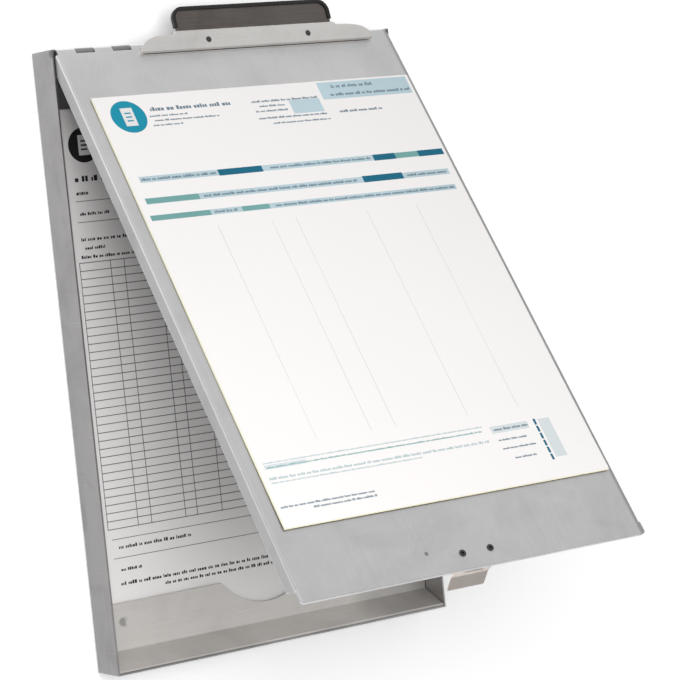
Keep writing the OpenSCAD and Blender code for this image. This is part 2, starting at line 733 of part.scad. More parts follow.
// Dark edging that grips the free edge of the lever
module lever_edging() {
    color([0.12, 0.12, 0.12]) on_lever() difference() {
        translate([0, 0, -lever_t / 2 - edging_t]) linear_extrude(lever_t + 2 * edging_t) difference() {
            lever_outline(edging_start, edging_t);
            lever_outline(0, edging_t - edging_w);
        }
        translate([0, 0, -lever_t / 2]) linear_extrude(lever_t) lever_outline(0, 0);
    }
}

module lever_rivets() {
    stack = sheets + (jaw_t + lever_t) / 2 + 0.01;
    color([0.8, 0.8, 0.8]) on_lid() for (side = [-1, 1]) {
        at = on_jaw(lever_rivet_at, stack - jaw_t / 2);
        translate([clip_x + side * lever_rivet_gap / 2, at[0], at[1]]) rotate([jaw_angle, 0, 0]) {
            cylinder(r = rivet_r, h = stack);
            translate([0, 0, stack]) domed_head(rivet_head_r - 0.6, rivet_head_t - 0.1);
            rotate([180, 0, 0]) domed_head(rivet_head_r - 0.8, 0.5);
        }
    }
}

tray_pan();
form_retainer();
retainer_rivets();
hinge_pin();
stored_forms();
lid_panel();
writing_form();
catch_plate();
catch_rivets();
catch_flush_rivet();
catch_arm();
clip_base();
clip_base_rivets();
clip_pin();
spring_left();
spring_right();
clip_jaw();
clip_lever();
lever_edging();
lever_rivets();
jaw_grip();
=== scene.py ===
import math
import random

import bpy
from mathutils import Matrix, Vector


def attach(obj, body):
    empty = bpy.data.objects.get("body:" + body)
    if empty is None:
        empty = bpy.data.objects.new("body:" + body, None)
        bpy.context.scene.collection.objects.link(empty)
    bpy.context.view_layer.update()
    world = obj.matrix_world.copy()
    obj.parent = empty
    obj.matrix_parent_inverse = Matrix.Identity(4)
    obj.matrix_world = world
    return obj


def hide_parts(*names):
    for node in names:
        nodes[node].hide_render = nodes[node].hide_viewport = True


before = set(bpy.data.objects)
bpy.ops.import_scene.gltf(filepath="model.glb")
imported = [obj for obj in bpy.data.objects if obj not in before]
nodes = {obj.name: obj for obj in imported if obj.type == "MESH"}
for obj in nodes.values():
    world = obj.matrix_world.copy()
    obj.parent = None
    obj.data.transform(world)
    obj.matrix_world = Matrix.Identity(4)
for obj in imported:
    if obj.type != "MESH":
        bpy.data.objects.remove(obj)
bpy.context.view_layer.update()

# --- Studio ---------------------------------------------------------------
# A white table top under a plain pale sky, which is brightest high beyond the
# hinge, and one broad soft lamp hung high to the left of the box. The camera
# looks steeply down on the box from its left.
camera_data = bpy.data.cameras.new("studio_camera")
camera_data.sensor_width = 36.0
camera_data.lens = 141.217
camera = bpy.data.objects.new("studio_camera", camera_data)
bpy.context.collection.objects.link(camera)
camera.matrix_world = Matrix((
    (0.82469, 0.11623, -0.55351, -0.82327),
    (-0.10121, 0.99319, 0.05777, 0.08604),
    (0.55646, 0.00838, 0.83083, 1.34691),
    (0, 0, 0, 1)))
bpy.context.scene.camera = camera
bpy.context.scene.view_settings.view_transform = "Standard"

BRIGHT_SIDE, DIM_SKY, BRIGHT_SKY = (0.38, 0.66, 0.65), 0.25, 0.61

sky = bpy.data.worlds.new("studio_sky")
bpy.context.scene.world = sky
sky.use_nodes = True
backdrop = sky.node_tree.nodes["Background"]
backdrop.inputs["Color"].default_value = (1, 1, 1, 1)
sky_way = sky.node_tree.nodes.new("ShaderNodeTexCoord")
towards_head = sky.node_tree.nodes.new("ShaderNodeVectorMath")
towards_head.operation = "DOT_PRODUCT"
towards_head.inputs[1].default_value = BRIGHT_SIDE
brighter = sky.node_tree.nodes.new("ShaderNodeMapRange")
brighter.inputs["From Min"].default_value = -0.1
brighter.inputs["From Max"].default_value = 0.95
brighter.inputs["To Min"].default_value = DIM_SKY
brighter.inputs["To Max"].default_value = BRIGHT_SKY
sky.node_tree.links.new(sky_way.outputs["Generated"], towards_head.inputs[0])
sky.node_tree.links.new(towards_head.outputs["Value"], brighter.inputs["Value"])
sky.node_tree.links.new(brighter.outputs[0], backdrop.inputs["Strength"])

LAMP_PLACE, LAMP_WIDTH, LAMP_WATTS = Vector((-0.40, 0.12, 1.23)), 0.8, 11.9

lamp = bpy.data.lights.new("side_lamp", "AREA")
lamp.shape = "SQUARE"
lamp.size = LAMP_WIDTH
lamp.energy = LAMP_WATTS
side_lamp = bpy.data.objects.new("side_lamp", lamp)
bpy.context.collection.objects.link(side_lamp)
side_lamp.location = LAMP_PLACE
side_lamp.rotation_euler = (-LAMP_PLACE).to_track_quat("-Z", "Y").to_euler()
# Bare metal would mirror the lamp as one white patch, so no reflection shows it
side_lamp.visible_glossy = False


def clear_selection():
    if bpy.context.mode != "OBJECT":
        bpy.ops.object.mode_set(mode="OBJECT")
    bpy.ops.object.select_all(action="DESELECT")


TABLE_WIDTH, TABLE_WHITE, TABLE_GLOW = 30, (0.96, 0.96, 0.96, 1), 0.2

clear_selection()
bpy.ops.mesh.primitive_plane_add(size=TABLE_WIDTH, location=(0, 0, 0))
table = bpy.context.object
table.name = "table_top"
table_paint = bpy.data.materials.new("table_paint")
table_paint.use_nodes = True
table_tree = table_paint.node_tree
table_shader = table_tree.nodes["Principled BSDF"]
table_shader.inputs["Base Color"].default_value = TABLE_WHITE
table_shader.inputs["Roughness"].default_value = 0.95
table_shader.inputs["Specular IOR Level"].default_value = 0.1
table_shader.inputs["Emission Color"].default_value = (1, 1, 1, 1)
# Seen directly, in metal or through glass, the table is a little whiter
seen = table_tree.nodes.new("ShaderNodeLightPath")
direct_or_mirrored = table_tree.nodes.new("ShaderNodeMath")
direct_or_mirrored.operation = "MAXIMUM"
table_tree.links.new(seen.outputs["Is Camera Ray"], direct_or_mirrored.inputs[0])
table_tree.links.new(seen.outputs["Is Glossy Ray"], direct_or_mirrored.inputs[1])
seen_anyhow = table_tree.nodes.new("ShaderNodeMath")
seen_anyhow.operation = "MAXIMUM"
table_tree.links.new(direct_or_mirrored.outputs[0], seen_anyhow.inputs[0])
table_tree.links.new(seen.outputs["Is Transmission Ray"], seen_anyhow.inputs[1])
glow = table_tree.nodes.new("ShaderNodeMath")
glow.operation = "MULTIPLY"
glow.inputs[1].default_value = TABLE_GLOW
table_tree.links.new(seen_anyhow.outputs[0], glow.inputs[0])
table_tree.links.new(glow.outputs[0], table_shader.inputs["Emission Strength"])
table.data.materials.append(table_paint)

# --- Tray pan -------------------------------------------------------------
# The body of the box: one blank of aluminium sheet, folded up into four
# walls and rolled into hinge knuckles at the head. It has the grain of the
# rolling mill and fine scuffs from desks and bags. Its edges are brightened,
# partly as rubbed wear and partly as a painted highlight, and its outward
# sides and its hinge roll are darkened as painted shade.


def add_node(tree, kind, feeds=None, **settings):
    """Adds a shader node and fills its inputs with values or with other nodes' outputs."""
    made = tree.nodes.new("ShaderNode" + kind)
    for key, value in settings.items():
        setattr(made, key, value)
    for key, value in (feeds or {}).items():
        if isinstance(value, bpy.types.NodeSocket):
            tree.links.new(value, made.inputs[key])
        else:
            made.inputs[key].default_value = value
    return made


def maths(tree, operation, first, second=0.0, third=0.0, clamp=False):
    """One sum on numbers or sockets. MULTIPLY_ADD is first x second + third."""
    made = add_node(tree, "Math", {0: first, 1: second, 2: third}, operation=operation, use_clamp=clamp)
    return made.outputs[0]


def around(tree, value, span, base):
    """A pattern's value, 0 to 1, as a tone that wavers by half of span to each side of base."""
    return maths(tree, "MULTIPLY_ADD", maths(tree, "SUBTRACT", value, 0.5), span, base)


def ramped(tree, value, low, high, out_low=0.0, out_high=1.0):
    """Value between low and high becomes a value between out_low and out_high, and stops there."""
    made = add_node(tree, "MapRange", {"Value": value, "From Min": low, "From Max": high,
                                       "To Min": out_low, "To Max": out_high})
    return made.outputs[0]


def effect_group(name, takes, gives):
    """A shader node group for one effect: takes and gives are (label, socket kind) pairs."""
    group = bpy.data.node_groups.new(name, "ShaderNodeTree")
    for label, kind in takes:
        group.interface.new_socket(label, in_out="INPUT", socket_type=kind)
    for label, kind in gives:
        group.interface.new_socket(label, in_out="OUTPUT", socket_type=kind)
    return group, group.nodes.new("NodeGroupInput"), group.nodes.new("NodeGroupOutput")


# Rolling grain: fine lines along one way of the sheet, and slow clouding
mill_grain, taken, given = effect_group(
    "mill_grain", [("Vector", "NodeSocketVector"), ("Fineness", "NodeSocketVector")],
    [("Grain", "NodeSocketFloat"), ("Cloud", "NodeSocketFloat")])
stretched = add_node(mill_grain, "VectorMath", {0: taken.outputs["Vector"], 1: taken.outputs["Fineness"]},
                     operation="MULTIPLY")
lines = add_node(mill_grain, "TexNoise", {"Vector": stretched.outputs[0], "Scale": 1.0, "Detail": 3.0,
                                          "Roughness": 0.7})
clouds = add_node(mill_grain, "TexNoise", {"Vector": taken.outputs["Vector"], "Scale": 14.0, "Detail": 3.0,
                                           "Roughness": 0.55})
mill_grain.links.new(ramped(mill_grain, lines.outputs["Fac"], 0.25, 0.75), given.inputs["Grain"])
mill_grain.links.new(ramped(mill_grain, clouds.outputs["Fac"], 0.3, 0.7), given.inputs["Cloud"])

# Handling marks: hairline scratches in two directions, and dull smudges
handling_marks, taken, given = effect_group(
    "handling_marks", [("Vector", "NodeSocketVector")],
    [("Scratch", "NodeSocketFloat"), ("Smudge", "NodeSocketFloat")])
hairlines = []
for turn, lines_per_metre in ((0.5, (9, 1300, 9)), (-1.05, (11, 1700, 11))):
    turned = add_node(handling_marks, "Mapping", {"Vector": taken.outputs["Vector"], "Rotation": (0, 0, turn)})
    drawn = add_node(handling_marks, "VectorMath", {0: turned.outputs[0], 1: lines_per_metre},
                     operation="MULTIPLY")
    streak = add_node(handling_marks, "TexNoise", {"Vector": drawn.outputs[0], "Scale": 1.0, "Detail": 1.0})
    patch = add_node(handling_marks, "TexNoise", {"Vector": turned.outputs[0], "Scale": 38.0, "Detail": 1.0})
    hairlines.append(maths(handling_marks, "MULTIPLY",
                           ramped(handling_marks, streak.outputs["Fac"], 0.66, 0.74),
                           ramped(handling_marks, patch.outputs["Fac"], 0.5, 0.62)))
smear = add_node(handling_marks, "TexNoise", {"Vector": taken.outputs["Vector"], "Scale": 31.0, "Detail": 4.0,
                                              "Roughness": 0.62, "Distortion": 0.6})
handling_marks.links.new(maths(handling_marks, "MAXIMUM", *hairlines), given.inputs["Scratch"])
handling_marks.links.new(ramped(handling_marks, smear.outputs["Fac"], 0.48, 0.75), given.inputs["Smudge"])

# Rubbed edges: the soft rounding of a deburred edge, and a mask of the edges whose tone is raised, partly as wear
# and partly as a painted highlight
rubbed_edges_and_sheen, taken, given = effect_group(
    "rubbed_edges_and_sheen", [("Vector", "NodeSocketVector"), ("Width", "NodeSocketFloat")],
    [("Rub_and_sheen", "NodeSocketFloat"), ("Normal", "NodeSocketVector")])
rounding = add_node(rubbed_edges_and_sheen, "Bevel", {"Radius": taken.outputs["Width"]}, samples=4)
facing = add_node(rubbed_edges_and_sheen, "NewGeometry")
leaning = add_node(rubbed_edges_and_sheen, "VectorMath", {0: rounding.outputs[0], 1: facing.outputs["True Normal"]},
                   operation="DOT_PRODUCT")
chafe = add_node(rubbed_edges_and_sheen, "TexNoise", {"Vector": taken.outputs["Vector"], "Scale": 170.0, "Detail": 3.0})
rubbed_edges_and_sheen.links.new(
    maths(rubbed_edges_and_sheen, "MULTIPLY", ramped(rubbed_edges_and_sheen, leaning.outputs["Value"], 0.99, 0.86),
          ramped(rubbed_edges_and_sheen, chafe.outputs["Fac"], 0.3, 0.6)), given.inputs["Rub_and_sheen"])
rubbed_edges_and_sheen.links.new(rounding.outputs[0], given.inputs["Normal"])


def use_group(tree, group, feeds):
    """Places a shared effect in a material, with its own values."""
    made = tree.nodes.new("ShaderNodeGroup")
    made.node_tree = group
    for key, value in feeds.items():
        if isinstance(value, bpy.types.NodeSocket):
            tree.links.new(value, made.inputs[key])
        else:
            made.inputs[key].default_value = value
    return made


BRIGHTEST_METAL = (0.97, 0.97, 0.97)
GRAIN_DEPTH = 0.00003


def metal_finish(name, colour, roughness, fineness=(1500, 16, 1500), tilt=0.0, grain=0.05, cloud=0.06,
                 scratches=0.3, smudges=0.08, rub_and_sheen=0.35, edge=0.0004, relief=0.25, sides=0.0, under=0.0,
                 painted_patches=(), metallic=1.0):
    """Bare or plated metal, and the hard black trims.

    Fineness is grain lines per metre along X, Y and Z; tilt lays them in the lid's plane. Grain, cloud,
    scratches, smudges and rub say how much each changes the tone, and edge is the width of a rubbed edge
    in metres; the edges are brightened partly as wear and partly as a painted highlight. Sides and under
    darken the faces that point outwards and down, as painted shade. Painted patches are (axes, centre,
    reach, strength): the tone falls by strength within reach of the centre, measured along the axes
    marked 1, as painted shade, and a negative strength is a painted highlight.
    """
    finish = bpy.data.materials.new(name)
    finish.use_nodes = True
    tree = finish.node_tree
    shader = tree.nodes["Principled BSDF"]
    shader.inputs["Metallic"].default_value = metallic
    place = add_node(tree, "TexCoord")
    laid = add_node(tree, "Mapping", {"Vector": place.outputs["Object"], "Rotation": (tilt, 0, 0)})
    rolled = use_group(tree, mill_grain, {"Vector": laid.outputs[0], "Fineness": fineness})
    marked = use_group(tree, handling_marks, {"Vector": laid.outputs[0]})
    edged = use_group(tree, rubbed_edges_and_sheen, {"Vector": laid.outputs[0], "Width": edge})

    tone = around(tree, rolled.outputs["Grain"], 2 * grain, 1.0)
    tone = around(tree, rolled.outputs["Cloud"], 2 * cloud, tone)
    tone = maths(tree, "MULTIPLY_ADD", marked.outputs["Smudge"], -smudges, tone)
    tone = maths(tree, "MULTIPLY_ADD", marked.outputs["Scratch"], scratches * 0.5, tone)
    if sides:
        # Painted shade: faces that point outwards to the sides are darkened
        facing_way = add_node(tree, "SeparateXYZ", {0: place.outputs["Normal"]})
        half = add_node(tree, "SeparateXYZ", {0: place.outputs["Object"]})
        outward = maths(tree, "MULTIPLY", facing_way.outputs[0], maths(tree, "SIGN", half.outputs[0]), clamp=True)
        tone = maths(tree, "MULTIPLY", tone, ramped(tree, outward, 0.8, 0.99, 1.0, 1.0 - sides))
    if under:
        # Painted shade: faces that point down are darkened, so less light is thrown back from them
        downward = add_node(tree, "SeparateXYZ", {0: place.outputs["Normal"]})
        tone = maths(tree, "MULTIPLY", tone, ramped(tree, downward.outputs[2], -0.75, -0.45, 1.0 - under, 1.0))
    # Painted shade in patches; a negative strength gives a painted highlight instead
    for axes, centre, reach, strength in painted_patches:
        offset = add_node(tree, "VectorMath", {0: place.outputs["Object"], 1: centre}, operation="SUBTRACT")
        flat = add_node(tree, "VectorMath", {0: offset.outputs[0], 1: axes}, operation="MULTIPLY")
        distance = add_node(tree, "VectorMath", {0: flat.outputs[0]}, operation="LENGTH")
        tone = maths(tree, "MULTIPLY", tone,
                     ramped(tree, distance.outputs["Value"], reach * 0.6, reach, 1.0 - strength, 1.0))
    # Edges are brightened, partly as wear and partly as a painted highlight
    tone = maths(tree, "MULTIPLY_ADD", edged.outputs["Rub_and_sheen"], rub_and_sheen, tone)
    shade = add_node(tree, "VectorMath", {0: colour, "Scale": tone}, operation="SCALE")
    capped = add_node(tree, "VectorMath", {0: shade.outputs[0], 1: BRIGHTEST_METAL}, operation="MINIMUM")
    tree.links.new(capped.outputs[0], shader.inputs["Base Color"])

    # Clouded and smudged metal is duller, and a rubbed edge is shinier
    dull = around(tree, rolled.outputs["Cloud"], 0.12, roughness)
    dull = maths(tree, "MULTIPLY_ADD", marked.outputs["Smudge"], 0.1, dull)
    dull = maths(tree, "MULTIPLY_ADD", edged.outputs["Rub_and_sheen"], -0.08, dull, clamp=True)
    tree.links.new(dull, shader.inputs["Roughness"])
    height = maths(tree, "MULTIPLY_ADD", marked.outputs["Scratch"], -scratches, rolled.outputs["Grain"])
    bump = add_node(tree, "Bump", {"Strength": relief, "Distance": GRAIN_DEPTH, "Height": height,
                                   "Normal": edged.outputs["Normal"]})
    tree.links.new(bump.outputs[0], shader.inputs["Normal"])
    return finish


def dress(node, finish):
    """Gives a CAD solid its finish."""
    mesh = nodes[node].data
    mesh.materials.clear()
    mesh.materials.append(finish)


HINGE_AXIS = (0, 0.1749, 0.0242)
# Painted shade: the tone falls along the hinge roll at the head of the tray
painted_hinge_shade = ((0, 1, 1), HINGE_AXIS, 0.0032, 0.42)

# Painted shade: sides darkens the tray's outward walls
dress("tray_pan", metal_finish("tray_aluminium", (0.62, 0.607, 0.607), 0.44, grain=0.06, cloud=0.08, scratches=0.2,
                               smudges=0.12, sides=0.43, painted_patches=[painted_hinge_shade]))

# --- Form retainer --------------------------------------------------------
# A folded strip of thin aluminium sheet across the foot of the tray, with a
# thumb notch, that keeps the stored forms down. Its grain runs across the box.
# Its rim, its right corner and the left side of its dimples are darkened as
# painted shade.
DIMPLE_X, DIMPLE_Y = 0.0979, -0.150
# Painted shade: a dark line along the retainer's rim, and a darker right corner
painted_rim_shade = ((0, 1, 1), (0, -0.1765, 0.0182), 0.0022, 0.5)
painted_corner_shade = ((1, 1, 0), (0.108, -0.172, 0), 0.052, 0.25)

retainer_painted_shade = [painted_rim_shade, painted_corner_shade]
# Painted shade: a dark crescent on the left side of each dimple
for side in (-1, 1):
    retainer_painted_shade.append(((1, 1, 0), (side * DIMPLE_X - 0.0012, DIMPLE_Y, 0), 0.0030, 0.4))
dress("form_retainer", metal_finish("retainer_aluminium", (0.87, 0.84, 0.805), 0.42, fineness=(16, 1500, 1500),
                                    grain=0.05, scratches=0.15, metallic=0.6, painted_patches=retainer_painted_shade))

# --- Retainer rivets ------------------------------------------------------
# Four aluminium rivets that hold the retainer to the foot wall. Their heads
# are domed and set smooth, and their colour is darker than the retainer's.
rivet_aluminium = metal_finish("rivet_aluminium", (0.46, 0.45, 0.44), 0.42, fineness=(900, 900, 900), grain=0.04,
                               rub_and_sheen=0.25, edge=0.0003)
dress("retainer_rivets", rivet_aluminium)

# --- Hinge pin ------------------------------------------------------------
# A drawn steel wire as long as the box is wide, pushed through the rolled
# knuckles of tray and lid. Only its cut ends show.
pin_steel = metal_finish("pin_steel", (0.62, 0.62, 0.63), 0.32, fineness=(20, 2500, 2500), grain=0.06)
dress("hinge_pin", pin_steel)

# --- Stored forms ---------------------------------------------------------
# A pad of ruled paper forms lying in the tray, held down at the foot by the
# retainer. The leaves are cut a little unevenly, and the top one is printed
# in black with a plain disc, headings and a ruled table.
MM = 0.001
STORED_W, STORED_L = 215.9, 304.8
STORED_LEFT, STORED_HEAD, STORED_LOW = -107.95, 143.8, 1.0
STORED_LEAVES, LEAF_T, LEAF_STEP = 9, 0.30, 0.33

# Paper fibre: fine pulp, and the slow waves of a sheet that has been handled
paper_fibre, taken, given = effect_group(
    "paper_fibre", [("Vector", "NodeSocketVector")], [("Fibre", "NodeSocketFloat"), ("Cockle", "NodeSocketFloat")])
fibres = add_node(paper_fibre, "TexNoise", {"Vector": taken.outputs["Vector"], "Scale": 2600.0, "Detail": 3.0,
                                            "Roughness": 0.75, "Distortion": 1.2})
cockles = add_node(paper_fibre, "TexNoise", {"Vector": taken.outputs["Vector"], "Scale": 9.0, "Detail": 2.0})
paper_fibre.links.new(fibres.outputs["Fac"], given.inputs["Fibre"])
paper_fibre.links.new(cockles.outputs["Fac"], given.inputs["Cockle"])

FIBRE_DEPTH = 0.00002


def paper_finish(name, colour, mottle=0.03, roughness=0.85):
    """Uncoated paper, or ink that has soaked into it. Mottle is how uneven the colour is."""
    finish = bpy.data.materials.new(name)
    finish.use_nodes = True
    tree = finish.node_tree
    shader = tree.nodes["Principled BSDF"]
    shader.inputs["Specular IOR Level"].default_value = 0.25
    place = add_node(tree, "TexCoord")
    pulp = use_group(tree, paper_fibre, {"Vector": place.outputs["Object"]})
    tone = maths(tree, "MULTIPLY_ADD", pulp.outputs["Fibre"], mottle, 1.0 - mottle)
    tone = around(tree, pulp.outputs["Cockle"], mottle, tone)
    shade = add_node(tree, "VectorMath", {0: colour, "Scale": tone}, operation="SCALE")
    tree.links.new(shade.outputs[0], shader.inputs["Base Color"])
    tree.links.new(maths(tree, "MULTIPLY_ADD", pulp.outputs["Fibre"], 0.12, roughness - 0.06),
                   shader.inputs["Roughness"])
    bump = add_node(tree, "Bump", {"Strength": 0.2, "Distance": FIBRE_DEPTH, "Height": pulp.outputs["Fibre"]})
    tree.links.new(bump.outputs[0], shader.inputs["Normal"])
    return finish


def add_block(u, v, z, width, length, height):
    """A closed block in the mesh being edited: u and v are its left and head edges, z its middle, in mm."""
    bpy.ops.mesh.primitive_cube_add(size=1, location=((u + width / 2) * MM, -(v + length / 2) * MM, z * MM),
                                    scale=(width * MM, length * MM, height * MM))


def start_sheet(name):
    """An empty mesh in edit mode. Its origin is the form's head left corner, and +Y points to the head."""
    clear_selection()
    bpy.ops.mesh.primitive_cube_add(size=MM)
    made = bpy.context.object
    made.name = name
    made.data.name = name
    bpy.ops.object.mode_set(mode="EDIT")
    bpy.ops.mesh.select_all(action="SELECT")
    bpy.ops.mesh.delete(type="VERT")
    return made


def select_alone(made):
    clear_selection()
    made.select_set(True)
    bpy.context.view_layer.objects.active = made


def curl_sheet(made, curl):
    """Lifts each point by curl, which gives mm for a distance from the head in mm."""
    for corner in made.data.vertices:
        corner.co.z += curl(-corner.co.y / MM) * MM


def finish_sheet(made, placing, finish, body):
    """Lays the sheet where it belongs, and gives it its material and its body."""
    made.matrix_world = placing
    select_alone(made)
    bpy.ops.object.transform_apply(location=True, rotation=True, scale=True)
    made.data.materials.append(finish)
    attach(made, body)
    return made


stored_place = Matrix.Translation((STORED_LEFT * MM, STORED_HEAD * MM, STORED_LOW * MM))
uneven = random.Random(11)
pad = start_sheet("stored_pad")
for leaf in range(STORED_LEAVES):
    top = leaf == STORED_LEAVES - 1
    slip_x = 0 if top else uneven.uniform(-0.45, 0.45)
    slip_y = 0 if top else uneven.uniform(-0.6, 0.2)
    add_block(slip_x, slip_y, (leaf + 0.5) * LEAF_STEP, STORED_W, STORED_L, LEAF_T)
bpy.ops.object.mode_set(mode="OBJECT")
finish_sheet(pad, stored_place, paper_finish("stored_paper", (0.94, 0.92, 0.91)), "tray")
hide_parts("stored_forms")


# Printing is a film of ink: rows of short upright dashes stand for lines of
# text, and thin strips for rules. Places are mm from the head left corner.
def text_line(u, end, v, height, seed, longest=7.0):
    """Dashes grouped as words, from u to end in a line whose middle is at v. No word passes longest."""
    chance = random.Random(seed)
    marks = []
    while u < end - height:
        word_end = min(u + chance.uniform(1.6, longest), end)
        while u < word_end:
            wide = height * chance.uniform(0.3, 0.75)
            tall = height * chance.choice((0.68, 0.68, 0.74, 1.0))
            marks.append((u, v + height / 2 - tall, wide, tall))
            u += wide + 0.17 * height
        u += 0.55 * height
    return marks


def text_lines(rows):
    """Each row holds the values of one text_line: left, right, middle, height, seed and perhaps longest."""
    return [mark for row in rows for mark in text_line(*row)]


INK_FILM = 0.05
CURL_STEP = 14


def print_marks(name, marks, discs, top, placing, finish, body, curl=None):
    """Marks are (left, head, width, length) and discs (u, v, radius), in mm; top is the film's middle.

    On a curled sheet a long mark is printed in short lengths, so that it follows the paper.
    """
    made = start_sheet(name)
    for u, v, width, length in marks:
        pieces = max(1, math.ceil(length / CURL_STEP)) if curl else 1
        for piece in range(pieces):
            add_block(u, v + piece * length / pieces, top, width, length / pieces, INK_FILM)
    for u, v, radius in discs:
        bpy.ops.mesh.primitive_cylinder_add(vertices=72, radius=radius * MM, depth=INK_FILM * MM,
                                            location=(u * MM, -v * MM, top * MM))
    bpy.ops.object.mode_set(mode="OBJECT")
    if curl:
        curl_sheet(made, curl)
    return finish_sheet(made, placing, finish, body)


STORED_TOP = (STORED_LEAVES - 1) * LEAF_STEP + LEAF_STEP / 2 + LEAF_T / 2
# Ink that is printed over one film or over two stands this much higher
OVER_ONE, OVER_TWO = 0.03, 0.06
# The whole print sits a little to the right on its sheet
PRINT_SHIFT = 1.3
stored_print_place = stored_place @ Matrix.Translation((PRINT_SHIFT * MM, 0, 0))
black_ink = paper_finish("black_ink", (0.025, 0.024, 0.026), 0.3, 0.6)


def stored_print(name, marks, finish, discs=(), over=0.0):
    return print_marks(name, marks, discs, STORED_TOP + over, stored_print_place, finish, "tray")


stored_print("stored_headings", text_lines((
    (9, 33, 39.5, 3.2, 1, 5), (9, 19, 47.5, 2.2, 2), (10, 30, 59.5, 1.7, 3), (9, 45, 74.0, 1.9, 4),
    (11, 24, 79.0, 1.8, 5), (8, 60, 84.0, 1.8, 6), (12, 62, 251.5, 2.0, 7), (12, 26, 264.5, 1.7, 8),
    (11, 150, 272.5, 2.0, 9, 5), (40, 140, 276.6, 1.9, 10, 4), (120, 205, 20.0, 3.0, 12, 12),
    (130, 205, 28.0, 1.6, 13), (120, 200, 40.0, 1.6, 14), (120, 190, 60.0, 1.6, 15))),
    black_ink, discs=[(17, 20.4, 10)])

GRID_LEFT, GRID_W, GRID_HEAD, GRID_FOOT, ROW_PITCH = 6, 203, 87.0, 241.0, 4.65
GRID_COLUMNS = (6, 26, 35, 58, 66, 83, 108, 131, 152, 178, 208.6)
LONG_RULES = (52.0, 64.0, 246.5, 257.5)

rules = []
row = GRID_HEAD
while row <= GRID_FOOT + 0.1:
    rules.append((GRID_LEFT, row, GRID_W, 0.5))
    row += ROW_PITCH
for column in GRID_COLUMNS:
    rules.append((column, GRID_HEAD, 0.45, GRID_FOOT - GRID_HEAD))
for rule in LONG_RULES:
    rules.append((8, rule, 199, 0.4))
stored_print("stored_rules", rules, paper_finish("grey_ink", (0.20, 0.19, 0.19), 0.3, 0.65))

# A symbol of a blank page with three lines stands in each form's disc
stored_print("stored_symbol", [(13.4, 14.6, 7.2, 11.6)], paper_finish("symbol_white", (0.86, 0.85, 0.84)),
             over=OVER_ONE)
stored_print("stored_symbol_lines", [(15, 17.6, 4, 0.9), (15, 20.0, 4, 0.9), (15, 22.4, 4, 0.9)], black_ink,
             over=OVER_TWO)

# --- Lid panel ------------------------------------------------------------
# The writing surface: an aluminium sheet with folded-down sides and foot, and
# knuckles rolled at its head. Its right edge is darkened as painted shade, and
# the fold along its left edge is brightened as a painted highlight.
LID_TILT = math.radians(33.5)
# Painted shade along the lid's right edge, and a painted highlight along its left fold
painted_right_edge_shade = ((1, 0, 0), (0.1140, 0, 0), 0.0042, 0.38)
painted_left_fold_highlight = ((1, 0, 0), (-0.1133, 0, 0), 0.0014, -0.4)

# Painted shade: sides darkens the flanges' outer faces and under darkens the underside. The edges are brightened
# partly as wear and partly as a painted highlight.
dress("lid_panel", metal_finish("lid_aluminium", (0.865, 0.86, 0.865), 0.45, tilt=LID_TILT, grain=0.035,
                                cloud=0.05, scratches=0.14, smudges=0.07, rub_and_sheen=0.8, edge=0.0008, sides=0.66,
                                under=0.7, painted_patches=[painted_right_edge_shade, painted_left_fold_highlight]))

# --- Form on the lid ------------------------------------------------------
# A three-part form, white over yellow over pink. Each leaf shows a little
# beyond the one above, and the set lifts slightly at its foot.
LID_FORM_W, LID_FORM_L = 214.9, 279.4
LID_FORM_LEFT, LID_FORM_HEAD, LID_TOP = -104.55, -34.8, 2.1
LID_LEAF_T = 0.15

lid_place = (Matrix.Translation(HINGE_AXIS) @ Matrix.Rotation(-LID_TILT, 4, "X")
             @ Matrix.Translation((LID_FORM_LEFT * MM, LID_FORM_HEAD * MM, LID_TOP * MM)))


def leaf_curl(v):
    """Lift of the form above the lid at v mm from its head: the foot curls up and the head a little."""
    foot = max(0.0, v - 205.0) / 75.0
    head = max(0.0, 22.0 - v) / 22.0
    return 0.55 * foot ** 2 + 0.25 * head ** 2 + 0.05 * (1 - math.cos(v * 0.07))


# Name, colour, slip to the right and to the foot, and height of the leaf's middle, in mm
leaves = (("pink_leaf", (0.82, 0.69, 0.665), -0.2, 0.2, 0.10),
          ("yellow_leaf", (0.80, 0.77, 0.555), -0.6, 0.5, 0.30),
          ("white_leaf", (0.84, 0.82, 0.81), 0.0, 0.0, 0.50))
for name, tint, slip_u, slip_v, height in leaves:
    leaf = start_sheet(name)
    bpy.ops.mesh.primitive_grid_add(x_subdivisions=1, y_subdivisions=28, size=1)
    bpy.ops.transform.resize(value=(LID_FORM_W * MM, LID_FORM_L * MM, 1))
    bpy.ops.transform.translate(value=((slip_u + LID_FORM_W / 2) * MM, -(slip_v + LID_FORM_L / 2) * MM,
                                       (height + LID_LEAF_T / 2) * MM))
    bpy.ops.object.mode_set(mode="OBJECT")
    curl_sheet(leaf, leaf_curl)
    thick = leaf.modifiers.new("thickness", "SOLIDIFY")
    thick.thickness = LID_LEAF_T * MM
    thick.offset = -1
    select_alone(leaf)
    bpy.ops.object.modifier_apply(modifier="thickness")
    finish_sheet(leaf, lid_place, paper_finish(name + "_paper", tint), "lid")
    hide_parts("writing_form")

INK_TOP = 0.575


def lid_print(name, marks, colour, discs=(), over=0.0):
    return print_marks(name, marks, discs, INK_TOP + over, lid_place,
                       paper_finish(name + "_ink", colour, 0.25, 0.7), "lid", leaf_curl)


